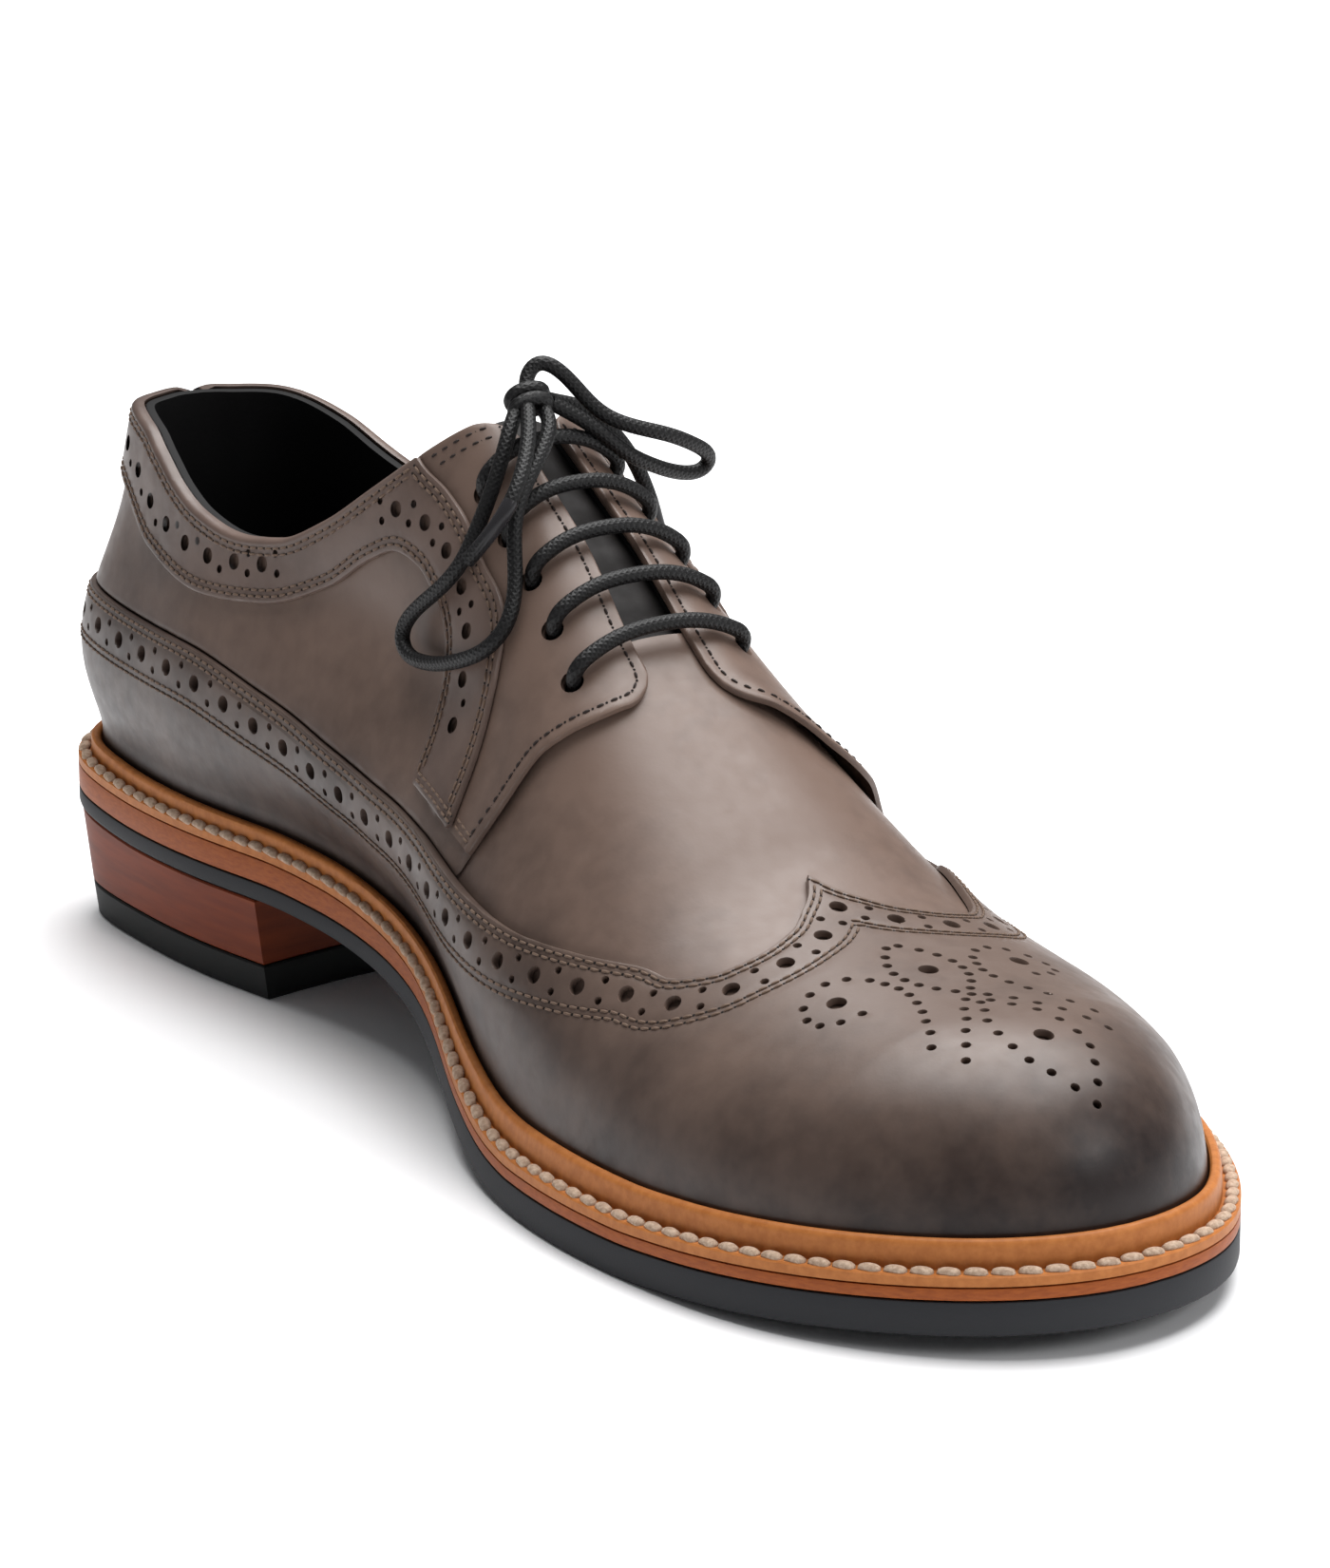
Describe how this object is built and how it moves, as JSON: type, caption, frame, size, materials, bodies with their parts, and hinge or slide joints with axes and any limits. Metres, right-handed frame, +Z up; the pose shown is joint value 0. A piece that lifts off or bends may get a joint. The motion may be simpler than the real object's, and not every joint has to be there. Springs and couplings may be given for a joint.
{
  "type": "longwing brogue",
  "caption": "Leather longwing brogue for the left foot, open laced, with a wing cap that runs back to the heel, punched bands, a storm welt, a rubber sole and a stacked heel.",
  "frame": {"origin": "on the floor, under the middle of the outsole's length and width", "axes": "-Y towards the toe, -X towards the medial (inner) side, +X towards the lateral side, +Z up"},
  "size_m": [0.1108, 0.305, 0.1268],
  "materials": {
    "rubber": "matt moulded rubber, dark grey",
    "top_rubber": "matt rubber, green-black",
    "heel_leather": "stacked leather, stained red-brown and waxed",
    "edge_leather": "cut leather edge, stained and waxed",
    "welt_leather": "tan welt leather with a light stitch row",
    "insole_leather": "undyed smooth leather",
    "lining": "black lining leather",
    "upper_leather": "burnished calf, taupe brown, waxed",
    "wing_leather": "burnished calf, darker at toe and heel, waxed",
    "band_leather": "burnished calf, punched and stitched",
    "tongue_leather": "smooth calf, dark brown",
    "lace": "round waxed cotton lace, black-brown"
  },
  "bodies": {
    "root": {"top_lift": "top_rubber", "heel_stack": "heel_leather", "outsole": "rubber", "midsole": "edge_leather", "welt": "welt_leather", "insole": "insole_leather", "upper": "lining", "wing_cap": "wing_leather", "quarter_medial": "upper_leather", "quarter_lateral": "upper_leather", "collar_band_medial": "band_leather", "collar_band_lateral": "band_leather", "tongue": "tongue_leather", "lace_bar_1": "lace", "lace_bar_2": "lace", "lace_bar_3": "lace", "lace_bar_4": "lace", "lace_bar_5": "lace", "lace_knot": "lace", "lace_loop_medial": "lace", "lace_loop_lateral": "lace", "lace_end_medial": "lace", "lace_end_lateral": "lace", "vamp": "upper_leather"}
  },
  "joints": []
}
